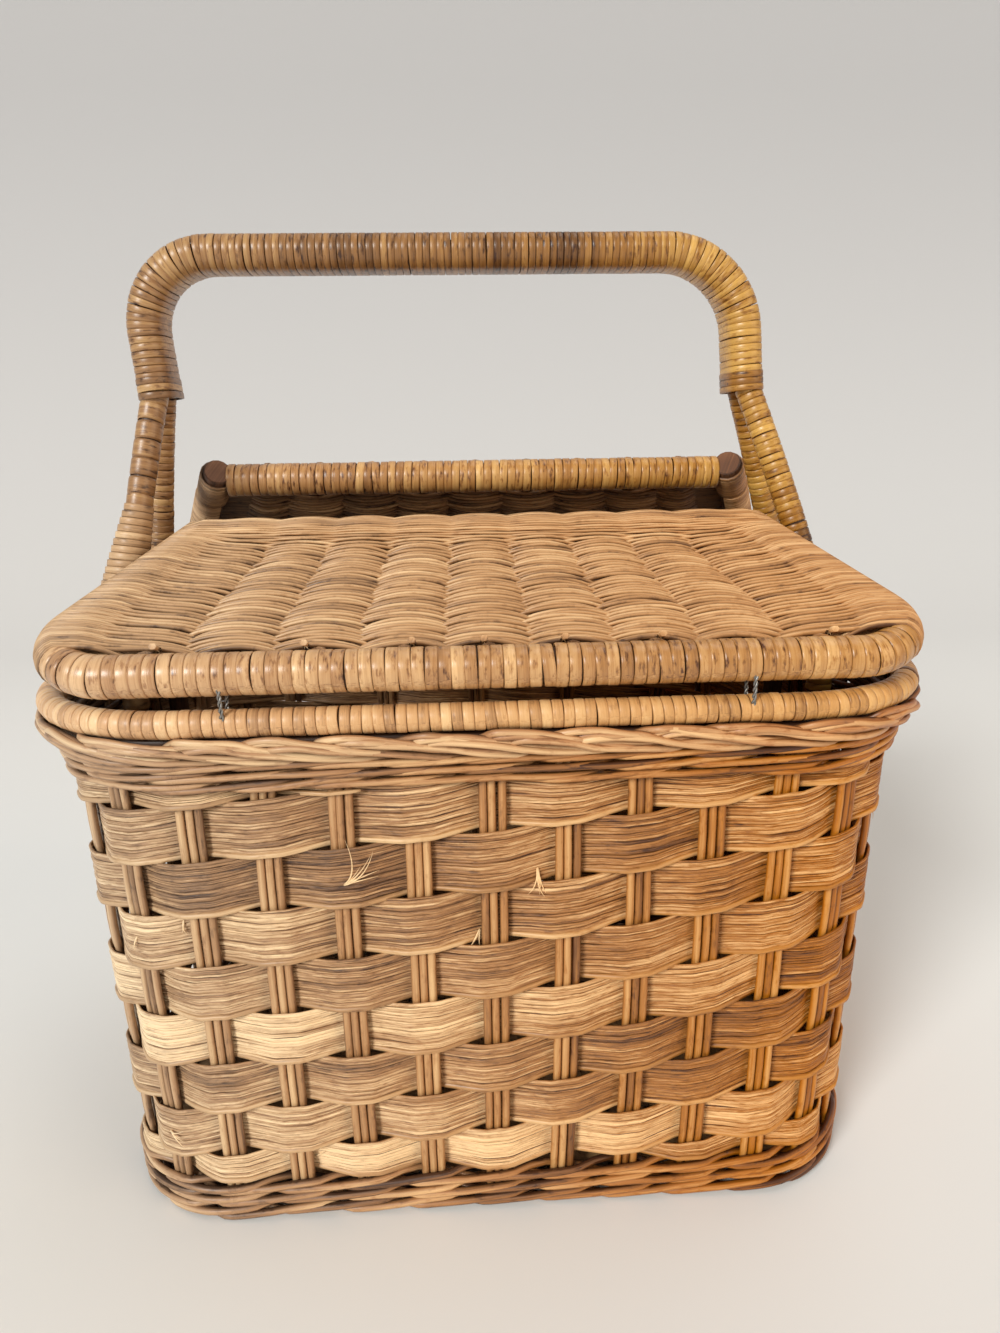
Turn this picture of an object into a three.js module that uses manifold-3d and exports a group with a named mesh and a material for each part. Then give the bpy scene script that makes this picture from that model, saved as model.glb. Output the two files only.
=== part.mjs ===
// Picnic basket: woven wall on bundled stakes, bound rim, split cane handle and two hinged lids.
// Millimetres, +Z up, front towards -Y, origin on the floor under the middle of the base.
import * as THREE from 'three';
import { mergeVertices } from 'three/addons/utils/BufferGeometryUtils.js';
import Module from 'manifold-3d';

// Clearance between touching pieces
const GAP = 0.3;

// Wall plan through the middle of the stakes at the floor, and how much wider it is at the top of the weave
const BASE_HALF_X = 163;
const BASE_HALF_Y = 108;
const BASE_CORNER = 50;
const FLARE_X = 9.4;
const FLARE_Y = 6.4;
const FLARE_CORNER = 6;
const BELLY = 8.5;
const CORNER_STEPS = 6;

// Stakes: bundles of three canes side by side
const CANE = 3;
const CANES_PER_STAKE = 3;
const FRONT_STAKES = 9;
const SIDE_STAKES = 5;
const CORNER_STAKES = 2;
const STAKE_BEND = 5;
const STAKE_STEPS = 6;
const FLOOR_CLEARANCE = 3;

// Woven rows and base
const ROWS = 8;
const ROW_PITCH = 23.25;
const WEAVERS = 4;
const LEVEL_STAKE = 4;
const TAPER_END = 2.6;
const WEAVER = 1.8;
const FLAT_MARGIN = 1.2;
const MAT = 2.5;

// Waling, border and rim hoop
const FOOT_WALE_HEIGHT = 19.7;
const FOOT_WALE = 5;
const INNER_WALE = 4;
const INNER_WALE_HEIGHT = 6.2;
const TOP_WALE_HEIGHT = 9.4;
const TOP_WALE_FLARE = 2.5;
const BORDER_HEIGHT = 10;
const BORDER_OUT = 15;
const BORDER_IN = 5;
const HOOP_INSET = 2.5;
const HOOP = 10.7;

// Handle
const HANDLE_CANE = 10.6;
const HANDLE_HALF = 135;
const HANDLE_LEAN = 14;
const HANDLE_RISE = 174;
const HANDLE_CORNER = 34;
const COLLAR_RISE = 118;
const LEG_SPREAD = 30;
const LEG_DEPTH = 85;
const LEG_EASE = 1.3;
const LEG_STEPS_PER_SPAN = 2;
const BINDING = 2.6;
const FOOT_BINDING = 1.2;
const BINDING_CLEARANCE = 0.45;

// Lids
const LID_SLOPE = 19;
const REAR_AJAR = 15;
const LID_LIFT = 5;
const LID_INSET = 0.5;
const LID_ROD = 13.2;
const LID_SIDE_INSET = 2;
const LID_CORNER = 24;
const LID_BINDING = 1.3;
const CENTRE_GAP = 10.4;
const RAIL_CLEARANCE = 12.6;
const RIBS = 9;
const RIB = 7.8;
const VALLEY = 2.6;
const STRAND = 1.6;
const EDGE_WEAVE = 2.8;

// Hinge loops and bridge
const WIRE = 1.8;
const HINGE_HALF = 97;
const BRIDGE = 6;

const SIDES = 8;
const wasm = await Module();
wasm.setup();

// Heights that follow from the sizes above
const layerOne = FLOOR_CLEARANCE + CANE / 2;
const layerTwo = layerOne + CANE + GAP;
const matBottom = layerTwo + CANE / 2 + GAP;
const weaveBottom = FOOT_WALE_HEIGHT + GAP;
const weaveTop = weaveBottom + ROWS * ROW_PITCH;
const topWaleTop = weaveTop + TOP_WALE_HEIGHT;
const borderBottom = topWaleTop + GAP;
const borderTop = borderBottom + BORDER_HEIGHT;
const hoopZ = borderTop + GAP + HOOP / 2;
const rimTop = hoopZ + HOOP / 2;
const innerFace = CANE / 2 + GAP;
const stakePitch = 2 * (BASE_HALF_X - BASE_CORNER) / (FRONT_STAKES - 1);
const hoopOffset = BORDER_OUT - HOOP / 2 - HOOP_INSET;
const rodOuter = LID_ROD / 2 + GAP + LID_BINDING;
const rodZ = rimTop + LID_LIFT + rodOuter;
const rodY = sized(BASE_HALF_Y, FLARE_Y, hoopZ) + hoopOffset - LID_INSET;
const slope = THREE.MathUtils.degToRad(LID_SLOPE);
const lidLength = (rodY - CENTRE_GAP) / Math.cos(slope);
const railEndZ = rodZ + lidLength * Math.sin(slope);
const railEndHalf = legX((railEndZ - rimTop) / COLLAR_RISE) - (HANDLE_CANE + LID_ROD) / 2 - RAIL_CLEARANCE;
const railRootHalf = sized(BASE_HALF_X, FLARE_X, hoopZ) - LID_SIDE_INSET;
const railLean = (railRootHalf - railEndHalf) / lidLength;
const crossRodV = lidLength - rodOuter;

function sized(atFloor, flare, z) {
  return atFloor + flare * z / weaveTop;
}

function vec(x, y, z) {
  return new THREE.Vector3(x, y, z);
}

// Plan of the wall: a spot is a place on the rounded rectangle, counter-clockwise from the front left
function wallSpots(straightCounts, cornerCount) {
  const spots = [];
  for (let side = 0; side < 4; side++) {
    const count = straightCounts[side % 2];
    for (let k = 0; k < count; k++) {
      spots.push({ side, share: 2 * k / (count - 1) - 1, turn: 0 });
    }
    for (let k = 1; k <= cornerCount; k++) {
      spots.push({ side, share: 1, turn: 90 * k / (cornerCount + 1) });
    }
  }
  return spots;
}

function heading(degrees) {
  const angle = THREE.MathUtils.degToRad(degrees);
  return vec(Math.cos(angle), Math.sin(angle), 0);
}

function wallTangent(spot) {
  return heading(90 * spot.side + spot.turn);
}

// How far the middle of the front bows out at a height of the weave
function bellyAt(z) {
  const share = THREE.MathUtils.clamp((z - weaveBottom) / (weaveTop - weaveBottom), 0, 1);
  return BELLY * 4 * share * (1 - share);
}

function wallPoint(spot, z, offset, along = 0) {
  const corner = sized(BASE_CORNER, FLARE_CORNER, z);
  const lengths = [sized(BASE_HALF_X, FLARE_X, z) - corner, sized(BASE_HALF_Y, FLARE_Y, z) - corner];
  const outward = heading(90 * (spot.side - 1) + spot.turn);
  const swell = bellyAt(z) * (1 - spot.share ** 2) * (lengths[spot.side % 2] / lengths[0]) ** 2;
  const point = vec(0, 0, z);
  point.addScaledVector(heading(90 * spot.side), spot.share * lengths[spot.side % 2]);
  point.addScaledVector(heading(90 * (spot.side - 1)), lengths[(spot.side + 1) % 2]);
  point.addScaledVector(outward, corner + offset + swell);
  return point.addScaledVector(wallTangent(spot), along);
}

const stakeSpots = wallSpots([FRONT_STAKES, SIDE_STAKES], CORNER_STAKES);
const ringSpots = wallSpots([2, 2], CORNER_STEPS - 1);
const stakeFlat = CANE * CANES_PER_STAKE / 2 + FLAT_MARGIN;
const bandStations = stationsOf(wallSpots([2, 2], CORNER_STAKES)).filter(({ spot, along }) => {
  return spot.turn > 0 || spot.share * along > 0;
});

function stationsOf(spots) {
  return spots.flatMap((spot) => [-stakeFlat, stakeFlat].map((along) => ({ spot, along })));
}

// Closed ring: place gives the point of section corner j at station i, corners turning from outward to up
function ring(stations, corners, place) {
  const geometry = new THREE.TorusGeometry(2, 1, corners, stations);
  const position = geometry.attributes.position;
  for (let j = 0; j <= corners; j++) {
    for (let i = 0; i <= stations; i++) {
      const point = place(i % stations, j % corners);
      position.setXYZ(j * (stations + 1) + i, point.x, point.y, point.z);
    }
  }
  return geometry;
}

function smoothRing(section) {
  const place = (i, j) => wallPoint(ringSpots[i], section[j][1], section[j][0]);
  return ring(ringSpots.length, section.length, place);
}

// Ring that lies flat across the stakes of the corners and runs straight along the sides
function stakeRing(section) {
  return ring(bandStations.length, section.length, (i, j) => {
    const { spot, along } = bandStations[i];
    return wallPoint(spot, section[j][1], section[j][0], along);
  });
}

// Solid swept along points: shape x lies along the side vector, shape y along the normal
function sweep(shape, points, side) {
  const steps = points.length - 1;
  const geometry = new THREE.ExtrudeGeometry(shape, { depth: steps, steps, bevelEnabled: false });
  const normals = points.map((point, k) => pathNormal(points, k, side));
  const position = geometry.attributes.position;
  for (let n = 0; n < position.count; n++) {
    const k = Math.round(position.getZ(n));
    const moved = points[k].clone().addScaledVector(side, position.getX(n));
    moved.addScaledVector(normals[k], position.getY(n));
    position.setXYZ(n, moved.x, moved.y, moved.z);
  }
  return geometry;
}

// Solid through a row of four-cornered sections
function loft(sections) {
  const steps = sections.length - 1;
  const geometry = new THREE.BoxGeometry(1, 1, steps, 1, 1, steps);
  const position = geometry.attributes.position;
  for (let n = 0; n < position.count; n++) {
    const section = sections[Math.round(steps / 2 - position.getZ(n))];
    const right = position.getX(n) > 0;
    const upper = position.getY(n) > 0;
    const point = section[right ? (upper ? 1 : 0) : (upper ? 2 : 3)];
    position.setXYZ(n, point.x, point.y, point.z);
  }
  return geometry;
}

function pathNormal(points, k, side) {
  const last = points.length - 1;
  const before = points[Math.max(k, 1)].clone().sub(points[Math.max(k, 1) - 1]).normalize();
  const next = Math.min(k + 1, last);
  const after = points[next].clone().sub(points[next - 1]).normalize();
  const along = before.clone().add(after).normalize();
  const normal = along.clone().cross(side).normalize();
  return normal.divideScalar(along.dot(before));
}

// Outlines
function outline(pairs) {
  return new THREE.Shape(pairs.map(([x, y]) => new THREE.Vector2(x, y)));
}

function circlePoints(radius) {
  const pairs = [];
  for (let k = 0; k < SIDES; k++) {
    const angle = 2 * Math.PI * (k + 0.5) / SIDES;
    pairs.push([radius * Math.cos(angle), radius * Math.sin(angle)]);
  }
  return pairs;
}

function stadiumPoints(halfLength, radius) {
  const pairs = [];
  for (let k = 0; k <= SIDES - 2; k++) {
    const angle = Math.PI * (k / (SIDES - 2) - 0.5);
    pairs.push([halfLength + radius * Math.cos(angle), radius * Math.sin(angle)]);
  }
  return pairs.concat(pairs.map(([x, y]) => [-x, -y]));
}

function sleeveOutline(outer, inner) {
  const shape = outline(outer);
  shape.holes.push(outline(inner));
  return shape;
}

// Outline of three canes lying side by side
function stakeOutline() {
  const r = CANE / 2;
  const upper = [];
  for (let cane = 0; cane < CANES_PER_STAKE; cane++) {
    const middle = (cane - (CANES_PER_STAKE - 1) / 2) * CANE;
    upper.push([middle - r, cane ? r / 2 : 0], [middle, r]);
  }
  return outline(upper.concat(upper.map(([x, y]) => [-x, -y])));
}

// Booleans
function toSolid(geometry) {
  const plain = geometry.clone();
  plain.deleteAttribute('normal');
  plain.deleteAttribute('uv');
  const merged = mergeVertices(plain, 1e-4);
  const vertProperties = new Float32Array(merged.attributes.position.array);
  const triVerts = new Uint32Array(merged.index.array);
  return new wasm.Manifold(new wasm.Mesh({ numProp: 3, vertProperties, triVerts }));
}

function toGeometry(solid) {
  const mesh = solid.getMesh();
  const geometry = new THREE.BufferGeometry();
  geometry.setAttribute('position', new THREE.BufferAttribute(mesh.vertProperties, 3));
  geometry.setIndex(new THREE.BufferAttribute(mesh.triVerts, 1));
  geometry.computeVertexNormals();
  return geometry;
}

// Finishes
const FINISHES = {
  stake: [0xb98f4f, 0.55, 0],
  weaver: [0xc29a57, 0.6, 0],
  wale: [0xb88a48, 0.55, 0],
  border: [0xb5843f, 0.5, 0],
  binding: [0xc08a3e, 0.38, 0],
  handle: [0xa8702c, 0.35, 0],
  lid: [0xb08a50, 0.62, 0],
  rail: [0x5e4022, 0.6, 0],
  base: [0xa98450, 0.65, 0],
  wire: [0x8a8a86, 0.4, 0.9],
};

function piece(name, geometry, finish) {
  const [color, roughness, metalness] = FINISHES[finish];
  const mesh = new THREE.Mesh(geometry, new THREE.MeshStandardMaterial({ color, roughness, metalness }));
  mesh.name = name;
  return mesh;
}

// Stakes: long ones run down one wall, under the base and up the other; corner ones are straight
function stakeFoot(spot, level) {
  const drop = wallPoint(spot, level + STAKE_BEND, 0);
  const run = wallPoint(spot, level, -STAKE_BEND);
  return [drop, run];
}

function stakeTop(spot) {
  const points = [wallPoint(spot, topWaleTop, 0)];
  for (let k = STAKE_STEPS; k >= 0; k--) {
    points.push(wallPoint(spot, weaveBottom + (weaveTop - weaveBottom) * k / STAKE_STEPS, 0));
  }
  return points;
}

function longStake(first, second, level) {
  const [dropOne, runOne] = stakeFoot(first, level);
  const [dropTwo, runTwo] = stakeFoot(second, level);
  const points = [...stakeTop(first), dropOne, runOne, runTwo, dropTwo, ...stakeTop(second).reverse()];
  return sweep(stakeOutline(), points, wallTangent(first));
}

function cornerStake(spot) {
  const points = [wallPoint(spot, topWaleTop, 0), wallPoint(spot, FLOOR_CLEARANCE, 0)];
  return sweep(stakeOutline(), points, wallTangent(spot));
}

function stakes() {
  const list = [];
  const onSide = (side) => stakeSpots.filter((spot) => spot.side === side && spot.turn === 0);
  const [front, right, back, left] = [0, 1, 2, 3].map(onSide);
  front.forEach((spot, k) => {
    const stake = longStake(spot, back[FRONT_STAKES - 1 - k], layerOne);
    list.push(piece(`stake_front_back_${k + 1}`, stake, 'stake'));
  });
  left.forEach((spot, k) => {
    const stake = longStake(spot, right[SIDE_STAKES - 1 - k], layerTwo);
    list.push(piece(`stake_left_right_${k + 1}`, stake, 'stake'));
  });
  stakeSpots.filter((spot) => spot.turn > 0).forEach((spot, k) => {
    list.push(piece(`stake_corner_${k + 1}`, cornerStake(spot), 'stake'));
  });
  return list;
}

function rowEdge(row) {
  return weaveBottom + THREE.MathUtils.clamp(row, 0, ROWS) * ROW_PITCH;
}

// Weavers climb round the wall together, each outside one stake and inside the next, and taper at both ends.
// A spliced length takes over where the one before it ends.
function weaverLength(weaver, first, last, spliced) {
  const perRow = stakeSpots.length / WEAVERS;
  const stations = [];
  for (let count = first; count <= last; count++) {
    const index = (count + weaver * perRow + stakeSpots.length) % stakeSpots.length;
    const ends = spliced && count === first ? [stakeFlat + GAP] : [-stakeFlat, stakeFlat];
    for (const along of ends) {
      stations.push({ spot: stakeSpots[index], along, count });
    }
  }
  const reach = innerFace + WEAVER / 2;
  const points = stations.map(({ spot, along, count }) => {
    const row = (count + along / stakePitch - LEVEL_STAKE) / perRow;
    const face = count % 2 ? -reach : reach;
    const low = rowEdge(row);
    const high = rowEdge(row + 1) - GAP;
    const corner = (side, z) => wallPoint(spot, z, face + side * WEAVER / 2, along);
    return [corner(1, low), corner(1, high), corner(-1, high), corner(-1, low)];
  });
  return loft(points);
}

function weavers() {
  const perRow = stakeSpots.length / WEAVERS;
  const first = LEVEL_STAKE - perRow + Math.ceil(TAPER_END * perRow / ROW_PITCH);
  const last = LEVEL_STAKE + ROWS * perRow - Math.ceil(TAPER_END * perRow / ROW_PITCH);
  const join = Math.round((first + last) / 2);
  const list = [];
  for (let weaver = 0; weaver < WEAVERS; weaver++) {
    list.push(piece(`weaver_${2 * weaver + 1}`, weaverLength(weaver, first, join, false), 'weaver'));
    list.push(piece(`weaver_${2 * weaver + 2}`, weaverLength(weaver, join, last, true), 'weaver'));
  }
  return list;
}

// Base mat inside the foot of the stakes
function baseMat() {
  const inset = -(STAKE_BEND + CANE / 2 + GAP);
  const corners = ringSpots.map((spot) => wallPoint(spot, matBottom, inset));
  const shape = outline(corners.map((point) => [point.x, point.y]));
  const geometry = new THREE.ExtrudeGeometry(shape, { depth: MAT, bevelEnabled: false });
  return geometry.translate(0, 0, matBottom);
}

// Waling rings outside and inside the stakes
function outerBand(low, high, thickLow, thickHigh) {
  const near = innerFace;
  const section = [[near, low], [near + thickLow, low], [near + thickHigh, high], [near, high]];
  return stakeRing(section);
}

function innerBand(low, high, thick) {
  const near = -innerFace;
  const section = [[near, low], [near, high], [near - thick, high], [near - thick, low]];
  return stakeRing(section);
}

function waling() {
  const footInnerLow = FOOT_WALE_HEIGHT - INNER_WALE_HEIGHT;
  const low = weaveTop;
  return [
    piece('foot_wale_outer', outerBand(0, FOOT_WALE_HEIGHT, FOOT_WALE, FOOT_WALE), 'wale'),
    piece('foot_wale_inner', innerBand(footInnerLow, FOOT_WALE_HEIGHT, INNER_WALE), 'wale'),
    piece('top_wale_outer', outerBand(low, topWaleTop, FOOT_WALE, FOOT_WALE + TOP_WALE_FLARE), 'wale'),
    piece('top_wale_inner', innerBand(low, topWaleTop, INNER_WALE), 'wale'),
  ];
}

// Border roll over the stake tops, notched under the hinge loops, and the bound hoop lying on it
function border() {
  const low = borderBottom;
  const high = borderTop;
  const round = BORDER_HEIGHT / 3;
  const section = [
    [BORDER_OUT, low + round],
    [BORDER_OUT, high - round],
    [BORDER_OUT - round, high],
    [-BORDER_IN, high],
    [-BORDER_IN, low],
    [BORDER_OUT - 2 * round, low],
  ];
  let solid = toSolid(smoothRing(section));
  for (const spot of hingeSpots()) {
    const notch = new THREE.BoxGeometry(WIRE + 2 * GAP, BORDER_OUT * 3, 2 * (WIRE + GAP));
    notch.translate(spot.x, Math.sign(spot.y) * hoopY(), borderTop);
    solid = solid.subtract(toSolid(notch));
  }
  return toGeometry(solid);
}

function hoopY() {
  return sized(BASE_HALF_Y, FLARE_Y, hoopZ) + hoopOffset;
}

function roundSection(offset, z, radius) {
  return circlePoints(radius).map(([x, y]) => [offset + x, z + y]);
}

function rim() {
  return [
    piece('border', border(), 'border'),
    piece('rim_hoop', smoothRing(roundSection(hoopOffset, hoopZ, HOOP / 2)), 'binding'),
  ];
}

// Handle: two canes lie together along the top and split into front and back legs
function legFootX(z) {
  return sized(BASE_HALF_X, FLARE_X, z) - innerFace - INNER_WALE - GAP - HANDLE_CANE / 2;
}

function legX(share) {
  const foot = legFootX(topWaleTop);
  return foot + (HANDLE_HALF - foot) * Math.max(share, 0) ** LEG_EASE;
}

function legY(share) {
  const together = HANDLE_CANE / 2 + GAP / 2;
  return together + (LEG_SPREAD - together) * Math.min(1 - share, 1);
}

function legPoints() {
  const points = [];
  for (const z of [rimTop - LEG_DEPTH, topWaleTop - TOP_WALE_HEIGHT / 2]) {
    points.push(vec(legFootX(Math.min(z, topWaleTop)), LEG_SPREAD, z));
  }
  for (const share of [0.06, 0.3, 0.55, 0.8, 0.97]) {
    points.push(vec(legX(share), legY(share), rimTop + share * COLLAR_RISE));
  }
  return points;
}

function archPoints() {
  const y = legY(1);
  const bend = rimTop + HANDLE_RISE - HANDLE_CORNER;
  const points = [vec(HANDLE_HALF, y, rimTop + COLLAR_RISE)];
  for (let k = 0; k <= CORNER_STEPS; k++) {
    const turn = heading(90 * k / CORNER_STEPS);
    points.push(vec(HANDLE_HALF - HANDLE_CORNER * (1 - turn.x), y, bend + HANDLE_CORNER * turn.y));
  }
  return points;
}

function mirrored(points) {
  return points.concat(points.map((point) => vec(-point.x, point.y, point.z)).reverse());
}

// The whole handle leans to the left as it rises from the rim
function leanAt(z) {
  return HANDLE_LEAN * THREE.MathUtils.clamp((z - rimTop) / HANDLE_RISE, 0, 1);
}

function leaned(points) {
  return points.map((point) => vec(point.x - leanAt(point.z), point.y, point.z));
}

function legRoute() {
  const stops = legPoints().concat(archPoints()[0]);
  return new THREE.CatmullRomCurve3(stops).getPoints((stops.length - 1) * LEG_STEPS_PER_SPAN);
}

function handleCane(direction) {
  const points = mirrored(legRoute().concat(archPoints().slice(1)));
  const placed = points.map((point) => vec(point.x, direction * point.y, point.z));
  return sweep(outline(circlePoints(HANDLE_CANE / 2)), leaned(placed), vec(0, 1, 0));
}

function handleBinding() {
  const points = mirrored(archPoints()).map((point) => vec(point.x, 0, point.z));
  const bore = HANDLE_CANE / 2 + BINDING_CLEARANCE;
  const halfLength = legY(1);
  const shape = sleeveOutline(stadiumPoints(halfLength, bore + BINDING), stadiumPoints(halfLength, bore));
  return sweep(shape, leaned(points), vec(0, 1, 0));
}

function footBinding(signX, signY) {
  const low = 2 * LEG_STEPS_PER_SPAN;
  const span = legRoute().slice(low, low + LEG_STEPS_PER_SPAN + 1);
  const points = span.map((point) => vec(signX * point.x, signY * point.y, point.z));
  const bore = HANDLE_CANE / 2 + BINDING_CLEARANCE;
  const shape = sleeveOutline(circlePoints(bore + FOOT_BINDING), circlePoints(bore));
  return sweep(shape, leaned(points), vec(0, 1, 0));
}

function handle() {
  const list = [
    piece('handle_cane_front', handleCane(-1), 'handle'),
    piece('handle_cane_back', handleCane(1), 'handle'),
    piece('handle_binding', handleBinding(), 'binding'),
  ];
  for (const [name, x, y] of [['fl', -1, -1], ['fr', 1, -1], ['bl', -1, 1], ['br', 1, 1]]) {
    list.push(piece(`foot_binding_${name}`, footBinding(x, y), 'binding'));
  }
  return list;
}

// Bridge between the split legs: the bound cross rods of both lids come down on its long edges
function bridge() {
  const halfWidth = legY((railEndZ - rimTop) / COLLAR_RISE) - HANDLE_CANE / 2 - 2 * GAP;
  const reach = rodOuter + GAP;
  const aside = THREE.MathUtils.clamp(rodY - crossRodV * Math.cos(slope) - halfWidth, 0, reach);
  const top = rodZ + crossRodV * Math.sin(slope) - Math.sqrt(reach ** 2 - aside ** 2);
  const half = legX((top - rimTop) / COLLAR_RISE) + HANDLE_CANE / 2;
  const geometry = new THREE.BoxGeometry(2 * half, 2 * halfWidth, BRIDGE);
  return geometry.translate(-leanAt(top), 0, top - BRIDGE / 2);
}

// Lids, built flat with x across, y away from the hinge rod and z up, hinge rod on the x axis
function railX(v) {
  return railRootHalf - railLean * v;
}

function lidPath() {
  const turn = Math.PI / 2 + Math.atan(railLean);
  const reach = LID_CORNER * Math.tan(turn / 2);
  const centre = vec(railRootHalf - reach, LID_CORNER, 0);
  const half = [];
  for (let k = 0; k <= CORNER_STEPS; k++) {
    const angle = turn * k / CORNER_STEPS - Math.PI / 2;
    half.push(vec(centre.x + LID_CORNER * Math.cos(angle), centre.y + LID_CORNER * Math.sin(angle), 0));
  }
  half.push(vec(railEndHalf, lidLength, 0));
  const left = half.map((point) => vec(-point.x, point.y, 0)).reverse();
  return left.concat(half);
}

function lidTube(diameter, points) {
  return sweep(outline(circlePoints(diameter / 2)), points, vec(0, 0, 1));
}

// Ribbed profile of the woven panel, thick at each rib and thin between, x as a share of its half-width
function panelOutline() {
  const step = 2 / (RIBS + 1);
  const upper = [[-1, VALLEY / 2]];
  for (let rib = 1; rib <= RIBS; rib++) {
    const middle = rib * step - 1;
    upper.push([middle - step / 2, VALLEY / 2]);
    upper.push([middle - step / 5, RIB / 2], [middle + step / 5, RIB / 2]);
  }
  upper.push([1 - step / 2, VALLEY / 2], [1, VALLEY / 2]);
  return outline(upper.concat(upper.map(([x, y]) => [-x, -y])));
}

// The ribs fan out with the rails
function ribbedSheet(start, end) {
  const geometry = new THREE.ExtrudeGeometry(panelOutline(), { depth: 1, bevelEnabled: false });
  const position = geometry.attributes.position;
  for (let n = 0; n < position.count; n++) {
    const v = end - (end - start) * position.getZ(n);
    position.setXYZ(n, position.getX(n) * railX(v), v, position.getY(n));
  }
  return geometry;
}

// The weave carries on over the top of the bound cross rod
function edgeWeave() {
  const inner = rodOuter + GAP;
  const outer = inner + EDGE_WEAVE;
  const sleeve = rodSleeve(railX(crossRodV), outer, inner).translate(0, crossRodV, 0);
  const back = crossRodV - outer;
  const front = weaveEnd();
  const keep = new THREE.BoxGeometry(3 * railRootHalf, front - back, 2 * outer);
  keep.translate(0, (front + back) / 2, outer + VALLEY / 2);
  return toSolid(sleeve).intersect(toSolid(keep));
}

function weaveEnd() {
  return crossRodV + rodOuter / 2;
}

function lidPanel() {
  const start = rodOuter + 2 * GAP + WIRE + 2;
  const path = lidPath();
  const shape = outline(path.map((point) => [point.x, point.y]));
  const plan = new THREE.ExtrudeGeometry(shape, { depth: RIB * 2, bevelEnabled: false });
  plan.translate(0, 0, -RIB);
  let solid = toSolid(ribbedSheet(start, crossRodV - rodOuter - GAP)).intersect(toSolid(plan));
  solid = solid.add(edgeWeave());
  for (const sign of [-1, 1]) {
    const wrap = [LID_CORNER * 2, weaveEnd()].map((v) => vec(sign * railX(v), v, 0));
    solid = solid.add(toSolid(lidTube(LID_ROD + 2 * (GAP + STRAND), wrap)));
  }
  const bore = lidPath();
  bore[0].lerp(bore[1], -0.2);
  bore[bore.length - 1].lerp(bore[bore.length - 2], -0.2);
  const crossBore = [-1, 1].map((sign) => vec(sign * (crossHalf() + GAP), crossRodV, 0));
  solid = solid.subtract(toSolid(lidTube(LID_ROD + 2 * GAP, bore)));
  return toGeometry(solid.subtract(toSolid(lidTube(2 * (rodOuter + GAP), crossBore))));
}

function rodSleeve(halfLength, outer, inner) {
  const shape = sleeveOutline(circlePoints(outer), circlePoints(inner));
  const geometry = new THREE.ExtrudeGeometry(shape, { depth: 2 * halfLength, bevelEnabled: false });
  return geometry.translate(0, 0, -halfLength).rotateY(Math.PI / 2);
}

function rodBinding(halfLength) {
  return rodSleeve(halfLength, rodOuter, LID_ROD / 2 + GAP);
}

function railSide() {
  return LID_ROD / 2 * Math.hypot(1, railLean);
}

function crossHalf() {
  return railX(crossRodV + LID_ROD / 2) - railSide() - GAP;
}

function lid(name) {
  const group = new THREE.Group();
  const path = lidPath();
  const straight = path[CORNER_STEPS + 2].x - GAP;
  const sleeveHalf = railX(lidLength) - railSide() - 2 * GAP;
  const crossRod = lidTube(LID_ROD, [-1, 1].map((sign) => vec(sign * crossHalf(), crossRodV, 0)));
  group.add(piece(`${name}_frame`, lidTube(LID_ROD, path), 'rail'));
  group.add(piece(`${name}_rod_binding`, rodBinding(straight), 'binding'));
  group.add(piece(`${name}_cross_rod`, crossRod, 'rail'));
  group.add(piece(`${name}_cross_binding`, rodBinding(sleeveHalf).translate(0, crossRodV, 0), 'binding'));
  group.add(piece(`${name}_panel`, lidPanel(), 'lid'));
  return group;
}

function frontLid() {
  const group = lid('front_lid');
  group.rotation.set(slope, 0, 0);
  group.position.set(0, -rodY, rodZ);
  return group;
}

function rearLid() {
  const group = lid('rear_lid');
  group.rotation.set(slope + THREE.MathUtils.degToRad(REAR_AJAR), 0, Math.PI, 'ZXY');
  group.position.set(0, rodY, rodZ);
  return group;
}

// Hinge loops: a wire ring round the lid rod and the rim hoop at each hinge
function hingeSpots() {
  const spots = [];
  for (const y of [-rodY, rodY]) {
    for (const x of [-HINGE_HALF, HINGE_HALF]) {
      spots.push({ x, y });
    }
  }
  return spots;
}

function hingeLoop(spot) {
  const upper = vec(0, spot.y, rodZ);
  const lower = vec(0, Math.sign(spot.y) * hoopY(), hoopZ);
  const upperRadius = rodOuter + GAP + WIRE / 2;
  const lowerRadius = HOOP / 2 + GAP + WIRE / 2;
  const axis = upper.clone().sub(lower);
  const lean = Math.atan2(axis.z, axis.y);
  const wrap = Math.acos((upperRadius - lowerRadius) / axis.length());
  const half = 8;
  const eyes = [];
  for (let k = 0; k <= half; k++) {
    eyes.push([upper, upperRadius, lean - wrap + 2 * wrap * k / half]);
  }
  for (let k = 0; k <= half; k++) {
    eyes.push([lower, lowerRadius, lean + wrap + 2 * (Math.PI - wrap) * k / half]);
  }
  return ring(eyes.length, 6, (i, j) => {
    const [middle, radius, angle] = eyes[i];
    const turn = 2 * Math.PI * j / 6;
    const reach = radius + WIRE / 2 * Math.cos(turn);
    const across = spot.x + WIRE / 2 * Math.sin(turn);
    return vec(across, middle.y + reach * Math.cos(angle), middle.z + reach * Math.sin(angle));
  });
}

function hinges() {
  const names = ['front_left', 'front_right', 'rear_left', 'rear_right'];
  return hingeSpots().map((spot, k) => piece(`hinge_loop_${names[k]}`, hingeLoop(spot), 'wire'));
}

const basket = new THREE.Group();
basket.add(...stakes(), ...weavers(), piece('base_mat', baseMat(), 'base'), ...waling(), ...rim());
basket.add(...handle(), piece('bridge', bridge(), 'rail'), frontLid(), rearLid(), ...hinges());

export default basket;
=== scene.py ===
import math

import bpy
import numpy as np
from mathutils import Matrix, Quaternion, Vector


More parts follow.
